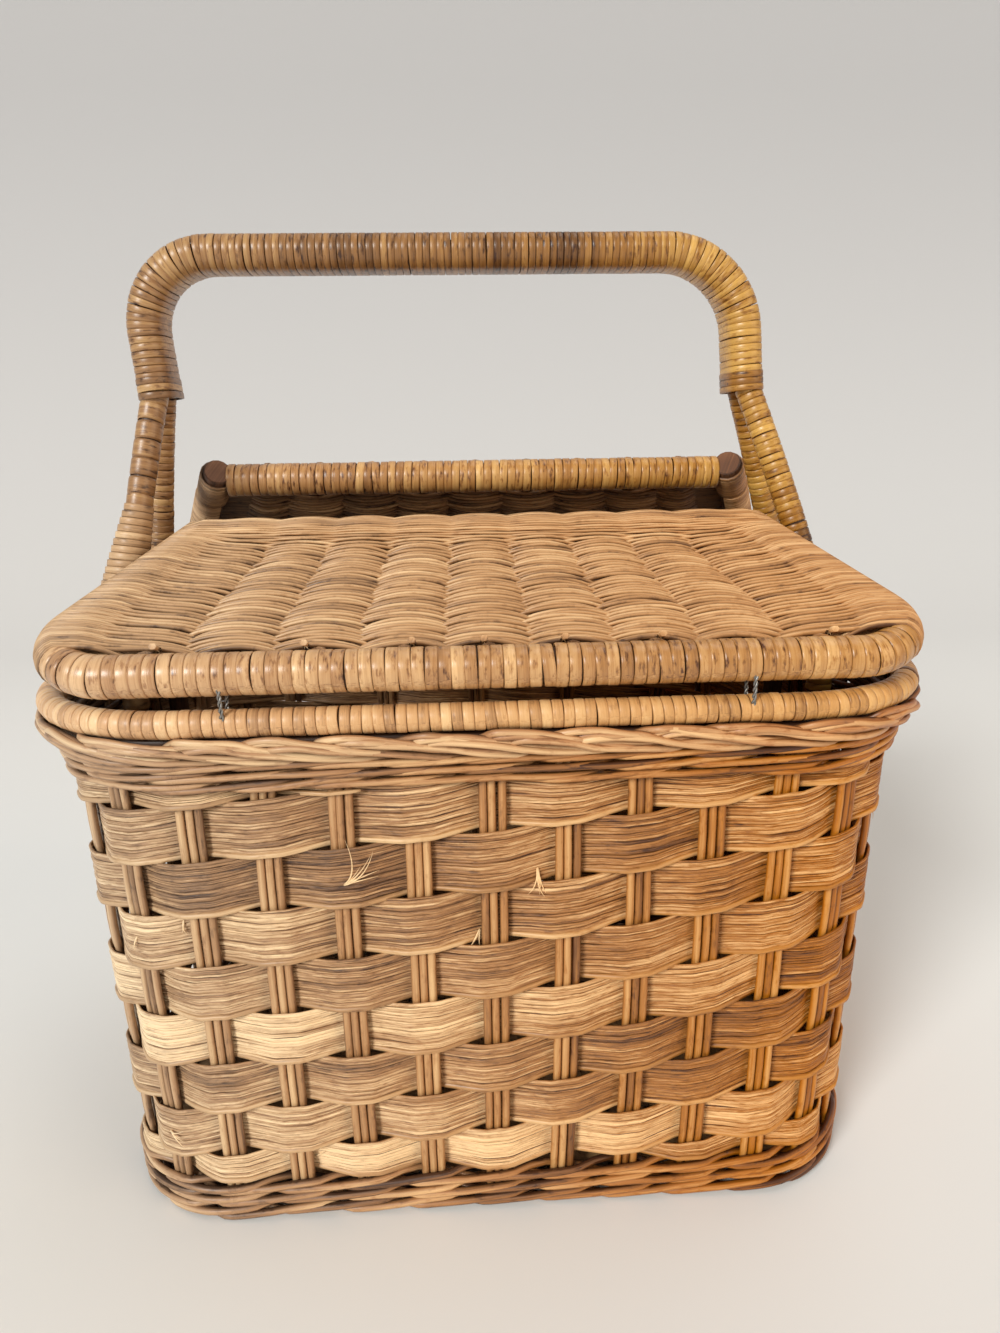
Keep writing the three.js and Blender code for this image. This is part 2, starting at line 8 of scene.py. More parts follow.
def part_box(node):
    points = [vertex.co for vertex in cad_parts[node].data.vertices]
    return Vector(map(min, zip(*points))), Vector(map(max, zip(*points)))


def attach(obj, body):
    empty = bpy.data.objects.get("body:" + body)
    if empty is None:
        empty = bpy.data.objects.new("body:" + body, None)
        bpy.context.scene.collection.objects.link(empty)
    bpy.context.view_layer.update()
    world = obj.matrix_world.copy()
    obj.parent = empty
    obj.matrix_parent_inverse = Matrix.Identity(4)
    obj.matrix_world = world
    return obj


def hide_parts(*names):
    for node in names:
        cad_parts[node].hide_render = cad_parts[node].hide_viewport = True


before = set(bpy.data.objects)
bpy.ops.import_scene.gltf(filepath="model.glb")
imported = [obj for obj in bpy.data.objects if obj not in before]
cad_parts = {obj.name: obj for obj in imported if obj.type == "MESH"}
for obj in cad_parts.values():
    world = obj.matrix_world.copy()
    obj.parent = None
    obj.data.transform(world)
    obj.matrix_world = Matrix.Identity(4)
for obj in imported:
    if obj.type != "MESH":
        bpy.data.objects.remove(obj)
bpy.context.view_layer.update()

MM = 0.001
UP = np.array([0.0, 0.0, 1.0])
rng = np.random.default_rng(41)

# Sizes of the part in millimetres, slopes in degrees, and counts
BASE_HALF_X, BASE_HALF_Y, BASE_CORNER = 163, 108, 50
FLARE_X, FLARE_Y, FLARE_CORNER = 9.4, 6.4, 6
WEAVE_BOTTOM, WEAVE_TOP = 20.0, 206.0
BELLY = 8.5
ROW_PITCH = 23.25
WALE_TOP = 215.4
HOOP_Z, HOOP_OFFSET, HOOP_RADIUS = 231.35, 7.15, 5.35
RIM_TOP = 236.7
LAYER_ONE, LAYER_TWO = 4.5, 7.8
STAKE_BEND = 5.0
STAKES = 36
ROD_Y, ROD_Z, ROD_OUTER = 121.8376, 249.9, 8.2
LID_SLOPE, REAR_SLOPE = 19.0, 34.0
LID_LENGTH, LID_CORNER, LID_ROD = 117.86, 24.0, 13.2
RAIL_ROOT, RAIL_LEAN = 171.557, 0.37026
CROSS_V = 109.66
RIBS = 9
HANDLE_HALF, HANDLE_TOP, HANDLE_CORNER, HANDLE_LEAN = 135.0, 410.7, 34.0, 14.0
COLLAR_Z, COLLAR_RISE = 354.7, 118.0
HANDLE_CANE = 10.6
TOGETHER = 5.45
LEG_SPREAD = 30.0
HINGE_HALF = 97.0
STAKE_FACE, INNER_WALE, GAP = 1.8, 4, .3
# Tint gained per millimetre to the left: painted light on the basket, which is paler towards the lamp on the
# left, and painted shade on the lids, which are darker to the left
PAINTED_LIGHT_DRIFT, LID_PAINTED_SHADE_DRIFT = .0003, -.0002


# Strands
def circle(count):
    angle = np.arange(count) * 2 * math.pi / count
    return np.stack([np.cos(angle), np.sin(angle)], 1)


ROUND = circle(8)
SLIM = circle(6)
FLAT = np.array([(1, 0), (.86, .72), (.4, 1), (-.4, 1), (-.86, .72), (-1, 0), (-.8, -.7), (.8, -.7)])
WRAP = np.array([(1, -.3), (.97, .5), (.72, 1), (-.72, 1), (-.97, .5), (-1, -.3), (-.8, -.8), (.8, -.8)])


def unit(vectors):
    return vectors / np.maximum(np.linalg.norm(vectors, axis=-1, keepdims=True), 1e-9)


class Strands:
    """Collects strands into one mesh. Each point keeps its place along and across its strand."""

    def __init__(self):
        self.points, self.loops, self.sizes, self.fibre, self.tint = [], [], [], [], []
        self.count = 0

    def add(self, path, out, half_width, half_thick, tint, section=ROUND, closed=False, edge=.3):
        path = np.asarray(path, float)
        n, k = len(path), len(section)
        if closed:
            tangent = np.roll(path, -1, 0) - np.roll(path, 1, 0)
        else:
            tangent = np.gradient(path, axis=0)
        tangent = unit(tangent)
        out = np.broadcast_to(np.asarray(out, float), path.shape)
        out = unit(out - (out * tangent).sum(1, keepdims=True) * tangent)
        side = np.cross(tangent, out)
        wide = np.broadcast_to(half_width, n)[:, None] * section[:, 0]
        high = np.broadcast_to(half_thick, n)[:, None] * section[:, 1]
        ring = path[:, None] + side[:, None] * wide[..., None] + out[:, None] * high[..., None]
        step = np.linalg.norm(np.diff(path, axis=0), axis=1)
        along = np.concatenate([[0], np.cumsum(step)])
        seed = rng.random() * 100
        fibre = np.stack([np.repeat(along, k), (wide + 0.5 * high).ravel(), np.full(n * k, seed)], 1)
        self.points.append(ring.reshape(-1, 3))
        self.fibre.append(fibre)
        # Painted shade: each strand's sides and underside are darkened by edge, for the shade between
        # neighbouring strands and on the inner face
        shade = edge * (np.abs(section[:, 0]) ** 3 + np.maximum(-section[:, 1], 0))
        self.tint.append((np.broadcast_to(tint, n)[:, None] - shade).ravel())
        self.stitch(n, k, closed)
        self.count += n * k

    def stitch(self, n, k, closed):
        i = np.arange(n if closed else n - 1)[:, None]
        j = np.arange(k)[None, :]
        a = i * k + j
        b = (i + 1) % n * k + j
        c = (i + 1) % n * k + (j + 1) % k
        d = i * k + (j + 1) % k
        quads = np.stack([a, b, c, d], -1).reshape(-1, 4) + self.count
        self.loops.append(quads.ravel())
        self.sizes.append(np.full(len(quads), 4))
        if not closed:
            self.loops.append(np.arange(k) + self.count)
            self.loops.append(np.arange(k)[::-1] + (n - 1) * k + self.count)
            self.sizes.append(np.array([k, k]))

    def build(self, name, material, body, slot, nodes, place=None, painted_light_drift=PAINTED_LIGHT_DRIFT):
        points = np.concatenate(self.points)
        if place is not None:
            points = points @ place[0].T + place[1]
        loops = np.concatenate(self.loops)
        sizes = np.concatenate(self.sizes)
        mesh = bpy.data.meshes.new(name)
        mesh.vertices.add(len(points))
        mesh.vertices.foreach_set("co", (points * MM).ravel())
        mesh.loops.add(len(loops))
        mesh.loops.foreach_set("vertex_index", loops)
        mesh.polygons.add(len(sizes))
        mesh.polygons.foreach_set("loop_start", np.concatenate([[0], np.cumsum(sizes)[:-1]]))
        mesh.update(calc_edges=True)
        mesh.polygons.foreach_set("use_smooth", sizes == 4)
        mesh.attributes.new("fibre", "FLOAT_VECTOR", "POINT").data.foreach_set(
            "vector", np.concatenate(self.fibre).ravel())
        # Painted light and shade: the tint drifts across x, lighter to the left on the basket and darker to
        # the left on the lids
        tint = np.concatenate(self.tint) - painted_light_drift * points[:, 0]
        mesh.attributes.new("tint", "FLOAT", "POINT").data.foreach_set("value", tint)
        mesh.materials.append(material)
        piece = bpy.data.objects.new(name, mesh)
        bpy.context.scene.collection.objects.link(piece)
        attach(piece, body)
        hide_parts(*nodes)


def nodes_named(*starts):
    return sorted(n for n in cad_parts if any(n.startswith(s) for s in starts))


def wander(count, knots, size, closed=False):
    """Smooth random drift along a strand."""
    values = rng.normal(0, size, knots)
    if closed:
        values = np.append(values, values[0])
    t = np.linspace(0, len(values) - 1, count, endpoint=not closed)
    i = np.minimum(t.astype(int), len(values) - 2)
    f = t - i
    f = f * f * (3 - 2 * f)
    return values[i] * (1 - f) + values[i + 1] * f


def spline(knots, steps):
    """Catmull-Rom curve through the knots."""
    knots = np.asarray(knots, float)
    ends = np.vstack([2 * knots[0] - knots[1], knots, 2 * knots[-1] - knots[-2]])
    t = np.linspace(0, 1, steps, endpoint=False)[:, None]
    parts = []
    for a, b, c, d in zip(ends, ends[1:], ends[2:], ends[3:]):
        parts.append(0.5 * (2 * b + (c - a) * t + (2 * a - 5 * b + 4 * c - d) * t ** 2
                            + (3 * b - a - 3 * c + d) * t ** 3))
    return np.vstack(parts + [knots[-1:]])


# Plan of the wall
def sized(at_floor, flare, z):
    """A size of the plan at height z, where the wall flares."""
    return at_floor + flare * np.asarray(z, float) / WEAVE_TOP


def heading(degrees):
    angle = np.radians(degrees)
    return np.stack([np.cos(angle), np.sin(angle), np.zeros_like(angle)], -1)


def spots(q):
    """Side, share of the straight and corner turn at stake number q, fractions lying between stakes."""
    q = np.mod(np.asarray(q, float), STAKES)
    side, share, turn = np.zeros_like(q), np.ones_like(q), np.zeros_like(q)
    start = 0
    for number, count in enumerate((9, 5, 9, 5)):
        here = (q >= start) & (q < start + count + 2)
        side[here] = number
        share[here] = np.minimum(2 * (q[here] - start) / (count - 1) - 1, 1)
        turn[here] = np.maximum(30 * (q[here] - start - count + 1), 0)
        start += count + 2
    return side, share, turn


def outward(q):
    """Direction out of the wall at stake number q."""
    side, _, turn = spots(q)
    return heading(90 * (side - 1) + turn)


def wall(q, z, offset=0.0, along=0.0):
    """Point at stake number q and height z, moved outward by offset and round the wall by along."""
    q, z, offset, along = (np.asarray(a, float) for a in np.broadcast_arrays(q, z, offset, along))
    side, share, turn = spots(q)
    corner = sized(BASE_CORNER, FLARE_CORNER, z)
    lengths = np.stack([sized(BASE_HALF_X, FLARE_X, z) - corner, sized(BASE_HALF_Y, FLARE_Y, z) - corner])
    even = side % 2 == 0
    own = np.where(even, lengths[0], lengths[1])
    other = np.where(even, lengths[1], lengths[0])
    height = np.clip((z - WEAVE_BOTTOM) / (WEAVE_TOP - WEAVE_BOTTOM), 0, 1)
    belly = BELLY * 4 * height * (1 - height) * (1 - share ** 2) * (own / lengths[0]) ** 2
    point = heading(90 * side) * (share * own)[..., None]
    point += heading(90 * (side - 1)) * other[..., None]
    point += heading(90 * (side - 1) + turn) * (corner + offset + belly)[..., None]
    point += heading(90 * side + turn) * along[..., None]
    point[..., 2] = z
    return point


# Materials
def rattan(name, dark, mid, pale, rough=(.42, .62), coat=.15, streak=.55, blotch=.5, bump=.35,
           speck=.25, painted_light_saturation=(.86, 1.1), painted_light_hue=(.5, .5), hair=(.05, 1.7)):
    """Cane with streaks that run along each strand, blotches and a varnish, and painted light that shifts
    its hue and saturation across x.
    """
    material = bpy.data.materials.new(name)
    material.use_nodes = True
    tree = material.node_tree
    nodes, link = tree.nodes, tree.links.new
    shader = nodes["Principled BSDF"]
    fibre = nodes.new("ShaderNodeAttribute")
    fibre.attribute_name = "fibre"
    tint = nodes.new("ShaderNodeAttribute")
    tint.attribute_name = "tint"

    def grain(along, across, detail):
        scale = nodes.new("ShaderNodeVectorMath")
        scale.operation = "MULTIPLY"
        scale.inputs[1].default_value = (along, across, 1.7)
        link(fibre.outputs["Vector"], scale.inputs[0])
        noise = nodes.new("ShaderNodeTexNoise")
        noise.inputs["Scale"].default_value = 1.0
        noise.inputs["Detail"].default_value = detail
        noise.inputs["Roughness"].default_value = .6
        link(scale.outputs[0], noise.inputs["Vector"])
        return noise.outputs["Fac"]

    def plus(a, b, factor):
        node = nodes.new("ShaderNodeMath")
        node.operation = "MULTIPLY_ADD"
        link(b, node.inputs[0])
        node.inputs[1].default_value = factor
        link(a, node.inputs[2])
        return node.outputs[0]

    fine = grain(*hair, 4)
    broad = grain(.022, .35, 3)
    tone = plus(plus(tint.outputs["Fac"], fine, streak), broad, blotch)
    worn = nodes.new("ShaderNodeMapRange")
    worn.inputs["From Min"].default_value = .54
    worn.inputs["From Max"].default_value = .74
    link(grain(.16, .5, 5), worn.inputs["Value"])
    tone = plus(tone, worn.outputs["Result"], -speck)
    shift = nodes.new("ShaderNodeMath")
    shift.operation = "SUBTRACT"
    link(tone, shift.inputs[0])
    shift.inputs[1].default_value = (streak + blotch) / 2
    ramp = nodes.new("ShaderNodeValToRGB")
    ramp.color_ramp.elements[0].position = .08
    ramp.color_ramp.elements[0].color = (*dark, 1)
    ramp.color_ramp.elements[1].position = .92
    ramp.color_ramp.elements[1].color = (*pale, 1)
    middle = ramp.color_ramp.elements.new(.5)
    middle.color = (*mid, 1)
    link(shift.outputs[0], ramp.inputs["Fac"])
    # Painted light: saturation and hue drift across x, paler and yellower to the left and more saturated and
    # redder to the right, as if lit by cool light from the left and warm light from the right
    place = nodes.new("ShaderNodeTexCoord")
    split = nodes.new("ShaderNodeSeparateXYZ")
    link(place.outputs["Object"], split.inputs[0])
    depth = nodes.new("ShaderNodeHueSaturation")
    for socket, (left, right) in (("Saturation", painted_light_saturation), ("Hue", painted_light_hue)):
        painted_light_ramp = nodes.new("ShaderNodeMapRange")
        painted_light_ramp.inputs["From Min"].default_value = -.18
        painted_light_ramp.inputs["From Max"].default_value = .18
        painted_light_ramp.inputs["To Min"].default_value = left
        painted_light_ramp.inputs["To Max"].default_value = right
        link(split.outputs["X"], painted_light_ramp.inputs["Value"])
        link(painted_light_ramp.outputs["Result"], depth.inputs[socket])
    link(ramp.outputs["Color"], depth.inputs["Color"])
    link(depth.outputs["Color"], shader.inputs["Base Color"])
    gloss = nodes.new("ShaderNodeMapRange")
    gloss.inputs["From Min"].default_value = .3
    gloss.inputs["From Max"].default_value = .7
    gloss.inputs["To Min"].default_value = rough[0]
    gloss.inputs["To Max"].default_value = rough[1]
    link(fine, gloss.inputs["Value"])
    link(gloss.outputs["Result"], shader.inputs["Roughness"])
    shader.inputs["Coat Weight"].default_value = coat
    shader.inputs["Coat Roughness"].default_value = .25
    relief = nodes.new("ShaderNodeBump")
    relief.inputs["Strength"].default_value = bump
    relief.inputs["Distance"].default_value = .0004
    link(fine, relief.inputs["Height"])
    link(relief.outputs["Normal"], shader.inputs["Normal"])
    return material


def metal(name):
    material = bpy.data.materials.new(name)
    material.use_nodes = True
    tree = material.node_tree
    nodes, link = tree.nodes, tree.links.new
    shader = nodes["Principled BSDF"]
    shader.inputs["Metallic"].default_value = .9
    noise = nodes.new("ShaderNodeTexNoise")
    noise.inputs["Scale"].default_value = 900
    ramp = nodes.new("ShaderNodeValToRGB")
    ramp.color_ramp.elements[0].color = (.09, .08, .07, 1)
    ramp.color_ramp.elements[1].color = (.42, .41, .39, 1)
    coordinates = nodes.new("ShaderNodeTexCoord")
    link(coordinates.outputs["Object"], noise.inputs["Vector"])
    link(noise.outputs["Fac"], ramp.inputs["Fac"])
    link(ramp.outputs["Color"], shader.inputs["Base Color"])
    shader.inputs["Roughness"].default_value = .42
    return material


# Painted light on the wall canes: paler and yellower to the left, more saturated and redder to the right
WALL = dict(painted_light_saturation=(.78, 1.28), painted_light_hue=(.507, .487))
STAKE = rattan("stake", (.075, .027, .008), (.42, .20, .068), (.70, .44, .20), **WALL)
WEAVER = rattan("weaver", (.06, .022, .008), (.41, .2, .073), (.92, .64, .34), coat=.08, streak=.9,
                blotch=.6, bump=.8, hair=(.15, 3.2), **WALL)
LIP = rattan("lip", (.20, .085, .027), (.50, .27, .105), (.78, .53, .27), coat=.12, **WALL)
WALE = rattan("wale", (.06, .022, .007), (.39, .178, .06), (.74, .46, .21), **WALL)
BORDER = rattan("border", (.055, .02, .007), (.43, .2, .072), (.77, .5, .24), painted_light_saturation=(.8, 1.12),
                painted_light_hue=(.507, .49))
HOOP = rattan("hoop", (.15, .055, .016), (.62, .33, .125), (.86, .57, .27), rough=(.4, .55), streak=.4)
ROD = rattan("rod", (.085, .026, .007), (.42, .20, .066), (.74, .45, .20), rough=(.28, .42), coat=.3,
             streak=.45, blotch=.7, speck=.6)
CROSS = rattan("cross", (.085, .024, .006), (.43, .195, .05), (.76, .45, .15), rough=(.3, .44), coat=.2,
               streak=.45, blotch=.7, speck=.6)
HANDLE = rattan("handle", (.05, .015, .004), (.325, .148, .036), (.69, .415, .13), rough=(.3, .45), coat=.16,
                streak=.4, blotch=.7, speck=.5)
LID = rattan("lid", (.075, .032, .012), (.49, .26, .102), (.82, .55, .28), coat=.1, streak=.5, blotch=.4,
             painted_light_hue=(.504, .492))
RAIL = rattan("rail", (.04, .014, .005), (.16, .062, .024), (.32, .15, .07), rough=(.45, .65), coat=.1)
BASE = rattan("base", (.13, .06, .024), (.40, .22, .09), (.62, .42, .20), rough=(.55, .7), coat=0)
WIRE = metal("wire")


# Stakes
ROWS_PER_TURN = 4
CANE_SPACING, CANE_HALF, CANE_THICK = 3.5, 1.7, 1.5
CORNER_STAKES = (9, 10, 16, 17, 27, 28, 34, 35)
UPRIGHT_STEPS, BEND_STEPS = 34, 5
STAKE_TONES, STAKE_ODDS = (.4, .52, .6, .66, .74), (.16, .22, .26, .2, .16)
STAKES_PER_ROW = STAKES / ROWS_PER_TURN


def stake_wave(q, z):
    """Slight snaking of a stake, away from each band that crosses it."""
    row = (z - WEAVE_BOTTOM) / ROW_PITCH - (q - 4) / STAKES_PER_ROW
    bulge = .35 * np.cos(math.pi * (row - .5)) * (1 if q % 2 else -1)
    return np.where((z > WEAVE_BOTTOM) & (z < WEAVE_TOP), bulge, 0)


def upright(q, along, low, drift):
    """One cane of a stake on the wall, from its top down to low."""
    z = np.linspace(WALE_TOP + 2, low, UPRIGHT_STEPS)
    return wall(q, z, stake_wave(q, z), along + np.linspace(drift, 0, UPRIGHT_STEPS))


def long_cane(strands, first, second, level, along, tone):
    """One cane that goes down the wall, under the base and up the wall across."""
    bend = np.radians(np.linspace(0, 90, BEND_STEPS + 1)[1:])
    down = upright(first, along, level + STAKE_BEND, rng.normal(0, .3))
    up = upright(second, -along, level + STAKE_BEND, rng.normal(0, .3))

    def foot(q, shift):
        return wall(q, level + STAKE_BEND * (1 - np.sin(bend)), -STAKE_BEND * (1 - np.cos(bend)), shift)

    path = np.vstack([down, foot(first, along), foot(second, -along)[::-1], up[::-1]])
    a, b = outward(float(first)), outward(float(second))
    under = np.tile((a + b) / 2 + (0, 0, -1), (2 * BEND_STEPS, 1))
    out = np.vstack([np.tile(a, (UPRIGHT_STEPS, 1)), under, np.tile(b, (UPRIGHT_STEPS, 1))])
    strands.add(path, out, CANE_HALF, CANE_THICK, tone + wander(len(path), 6, .06))


def make_stakes():
    strands = Strands()
    tones = rng.choice(STAKE_TONES, size=(STAKES, 3), p=STAKE_ODDS)
    for k in range(9):
        for c in range(3):
            long_cane(strands, k, 26 - k, LAYER_ONE, (c - 1) * CANE_SPACING, tones[k, c])
    for k in range(5):
        for c in range(3):
            long_cane(strands, 29 + k, 15 - k, LAYER_TWO, (c - 1) * CANE_SPACING, tones[29 + k, c])
    for q in CORNER_STAKES:
        for c in range(3):
            path = upright(q, (c - 1) * CANE_SPACING, 3.2, rng.normal(0, .3))
            tone = tones[q, c] + wander(UPRIGHT_STEPS, 4, .06)
            strands.add(path, outward(float(q)), CANE_HALF, CANE_THICK, tone)
    strands.build("stakes", STAKE, "basket", "stake", nodes_named("stake_"))


# Woven rows
# Where a band has points between two stakes, closer together where it bends
FRACTIONS = np.array([-.5, -.38, -.28, -.22, -.16, 0, .16, .22, .28, .38])
# Stakes counted along a weaver where it starts, is joined and ends
FIRST, JOIN, LAST = -3, 36, 74
BAND_STRANDS = 19
BAND_REACH, BAND_THICK = 2.75, .6
LIP_REACH, LIP_RADIUS = 2.95, 1.35
FRAY_RADIUS = .42
# Tone of the first and second length of each weaver
BAND_TONES = ((.74, .58), (.76, .58), (.54, .52), (.58, .64))


def weave_wave(u):
    """1 where a weaver passes outside a stake, -1 where it passes inside."""
    total = 0
    for nudge in (-.035, 0, .035):
        stake = np.round(u + nudge)
        sign = np.where(stake % 2 == 0, 1.0, -1.0)
        total = total + sign * np.clip((.5 - np.abs(u + nudge - stake)) / .305, 0, 1)
    return total / 3


def row_edge(row):
    """Height of the lower edge of a row, held between the wales."""
    return WEAVE_BOTTOM + np.clip(row, 0, 8) * ROW_PITCH


# Tufts seen on the front: stake number, height, angle in the wall, length, fibres
FRAYS = (
    (2, 164, 45, 20, 6),
    (4.6, 167, -90, 15, 5),
    (3.8, 141, -120, 9, 3),
    (35.7, 146, -100, 8, 3),
    (9, 92, -50, 8, 2),
    (1.2, 28, 30, 16, 1),
)


def add_fray(strands, q, z, offset, angle, length, count):
    """A tuft of split fibres that curls away from a band."""
    t = np.linspace(0, 1, 12)
    for _ in range(count):
        reach = length * rng.uniform(.5, 1)
        turn = math.radians(angle) + rng.normal(0, .14) + rng.normal(0, .4) * t
        curl = offset + .25 * reach * np.sin(2.4 * t)
        path = wall(q, z + reach * t * np.sin(turn), curl, reach * t * np.cos(turn))
        taper = FRAY_RADIUS * (1.1 - t)
        strands.add(path, outward(float(q)), taper, taper, 1.0, SLIM, edge=0)


def frays_on(weaver, first, last):
    """Those of the tufts that stand on one length of a weaver, and some more on the sides not seen."""
    for q, z, *form in FRAYS:
        for u in q - weaver * STAKES_PER_ROW + STAKES * np.arange(4):
            row = (u - 4) / STAKES_PER_ROW
            if first < u < last and row_edge(row) <= z < row_edge(row + 1):
                yield u, z, *form
    for u in 2 * np.round(rng.uniform(first + 2, last - 2, 5) / 2):
        if (u + weaver * STAKES_PER_ROW) % STAKES > 9:
            z = float(row_edge((u - 4) / STAKES_PER_ROW)) + rng.uniform(8, 15)
            yield u, z, rng.uniform(-140, 60), rng.uniform(6, 14), rng.integers(1, 5)


def weaver_length(weaver, half):
    """One length of a climbing weaver: a band of fine strands over a round cane."""
    first, last = ((FIRST - .3, JOIN - .8), (JOIN - 1.2, LAST + .3))[half]
    counts = np.arange(math.floor(first), math.ceil(last) + 1)
    u = (counts[:, None] + FRACTIONS).ravel()
    u = u[(u >= first) & (u <= last)]
    n = len(u)
    q = u + weaver * STAKES_PER_ROW
    row = (u - 4) / STAKES_PER_ROW
    low, high = row_edge(row), row_edge(row + 1)
    wave = weave_wave(u)
    spread = .96 + .04 * np.abs(wave)
    room = (high - low - 1.0) * spread
    middle = (low + 2.2 + high + 1.2) / 2 - .25 * wave
    shade = BAND_TONES[weaver][half] + wander(n, n // 15, .08)
    band = Strands()
    edges = np.cumsum(np.append(0, rng.uniform(.5, 1.5, BAND_STRANDS)))
    edges = edges / edges[-1] - .5
    for k in range(BAND_STRANDS):
        share = (edges[k] + edges[k + 1]) / 2
        z = middle + share * room + wander(n, n // 7, .2)
        offset = BAND_REACH * wave + wander(n, n // 8, .1) + rng.normal(0, .08)
        tone = shade + rng.normal(0, .06) + wander(n, n // 6, .08)
        width = room * (edges[k + 1] - edges[k]) * .52
        start, end = rng.integers(0, 2), n - rng.integers(0, 2)
        cut = slice(start, end)
        path = wall(q, z, offset)[cut]
        band.add(path, outward(q)[cut], width[cut], BAND_THICK, tone[cut], FLAT, edge=.13)
    # Painted shade: dark strips behind the strands, standing in for the shade seen through the gaps of the
    # band
    for share in (-.4, -.2, 0, .2, .4):
        strip = wall(q, middle + share * .96 * room, BAND_REACH * wave)
        band.add(strip, outward(q), room * .105, .1, .18, FLAT, edge=0)
    for at, z, angle, length, count in frays_on(weaver, first, last):
        offset = BAND_REACH * float(weave_wave(at)) + .4
        add_fray(band, at + weaver * STAKES_PER_ROW, z, offset, angle, length, count)
    name = f"weaver_{2 * weaver + half + 1}"
    band.build(f"{name}_band", WEAVER, "basket", "weaver", [name])
    lip = Strands()
    z = low + 1.5 * np.clip((high - low) / ROW_PITCH * 2, .3, 1) - .3 * wave + wander(n, n // 9, .2)
    girth = LIP_RADIUS * np.clip((high - low) / ROW_PITCH * 3, .15, 1)
    tone = .6 + rng.normal(0, .06) + wander(n, n // 20, .1)
    lip.add(wall(q, z, LIP_REACH * wave), outward(q), girth, girth, tone, SLIM)
    lip.build(f"{name}_lip", LIP, "basket", "weaver", [name])


def make_weave():
    for weaver in range(ROWS_PER_TURN):
        for half in range(2):
            weaver_length(weaver, half)


# Waling and border
RING = np.arange(STAKES * 8) / 8


def add_wale(strands, z, radius, reach, rise, flare=0.0):
    """A row of three rods, each in front of two stakes and behind the third."""
    q = RING
    for rod in range(3):
        u = np.mod(q + rod, 3)
        near = np.minimum(u, 3 - u)
        offset = np.interp(near, [0, .22, .78, 1.5], [-reach, -.9 * reach, .92 * reach, reach + .4])
        climb = np.where(u < .5, -2 * u, np.where(u > 2.5, 6 - 2 * u, u - 1.5))
        height = np.maximum(z + rise * climb + wander(len(q), 36, .4, True), radius + .2)
        offset = offset + flare * (offset > 0) + wander(len(q), 36, .2, True)
        tone = .58 + rng.normal(0, .1) + wander(len(q), 24, .15, True)
        strands.add(wall(q, height, offset), outward(q), radius, radius, tone, ROUND, True, edge=.42)


def make_wales():
    foot = Strands()
    for z in (4.4, 10.4, 16.4):
        add_wale(foot, z, 1.62, 3.5, 2.3)
    foot.build("foot_wale", WALE, "basket", "wale", nodes_named("foot_wale"))
    top = Strands()
    for z, flare in ((205.4, .9), (209.8, 1.9), (214.2, 2.9)):
        add_wale(top, z, 1.45, 4.0, 1.3, flare)
    top.build("top_wale", WALE, "basket", "wale", nodes_named("top_wale"))


BORDER_RADIUS = 1.5
# A border cane's way: stakes along, height and distance outward
HOOK = np.array([
    (-.16, 217.4, 2.0), (-.2, 220.4, 4.6), (-.14, 223.6, 8.6), (.06, 225.6, 11.8), (.36, 225.6, 12.5),
    (.72, 224.2, 12.0), (1.2, 221.9, 10.8), (1.7, 219.7, 8.8), (2.15, 218.2, 6.4), (2.5, 217.6, 3.6),
])


def border_cane(strands, knots, tone):
    curve = spline(knots + rng.normal(0, 1, knots.shape) * (.04, .4, .35), 5)
    radius = np.full(len(curve), BORDER_RADIUS)
    radius[-6:] *= np.linspace(1, .7, 6)
    route = wall(curve[:, 0], curve[:, 1], curve[:, 2])
    tone = tone + wander(len(curve), 5, .07)
    strands.add(route, outward(curve[:, 0]), radius, radius, tone, edge=.42)


def make_border():
    strands = Strands()
    q = RING
    # Painted shade: dark rings inside, standing in for the shade in the gaps between the canes
    for z, offset in ((217.6, 1.0), (220.6, .4), (223.6, 0), (219.4, 4.6), (222.8, 4.6)):
        ring = wall(q, z + wander(len(q), 36, .4, True), offset + wander(len(q), 36, .4, True))
        strands.add(ring, outward(q), 1.8, 1.6, .12 + wander(len(q), 20, .1, True), ROUND, True)
    for stake in range(STAKES):
        tone = .63 + rng.normal(0, .1)
        for cane in range(3):
            shift = (stake + .14 * cane + rng.normal(0, .03), -1.35 * cane, .15 * cane)
            border_cane(strands, HOOK + shift, tone + rng.normal(0, .1))
    strands.build("border_canes", BORDER, "basket", "border", ["border"])


# Bindings
def lengths_along(path, closed=False):
    ends = np.vstack([path, path[:1]]) if closed else path
    return np.concatenate([[0], np.cumsum(np.linalg.norm(np.diff(ends, axis=0), axis=1))])


def at_length(values, lengths, where, closed=False):
    values = np.vstack([values, values[:1]]) if closed else values
    return np.stack([np.interp(where, lengths, values[:, c]) for c in range(values.shape[1])], 1)


def stadium(half, radius, count):
    """Points and outward normals of a flat-sided loop, half-length along its second axis."""
    angle = np.arange(count) * 2 * math.pi / count
    normal = np.stack([np.cos(angle), np.sin(angle)], 1)
    points = normal * radius
    points[:, 1] += half * np.clip(normal[:, 1] * 3, -1, 1)
    return points, normal


WRAP_TILT, WRAP_THICK = .12, .42


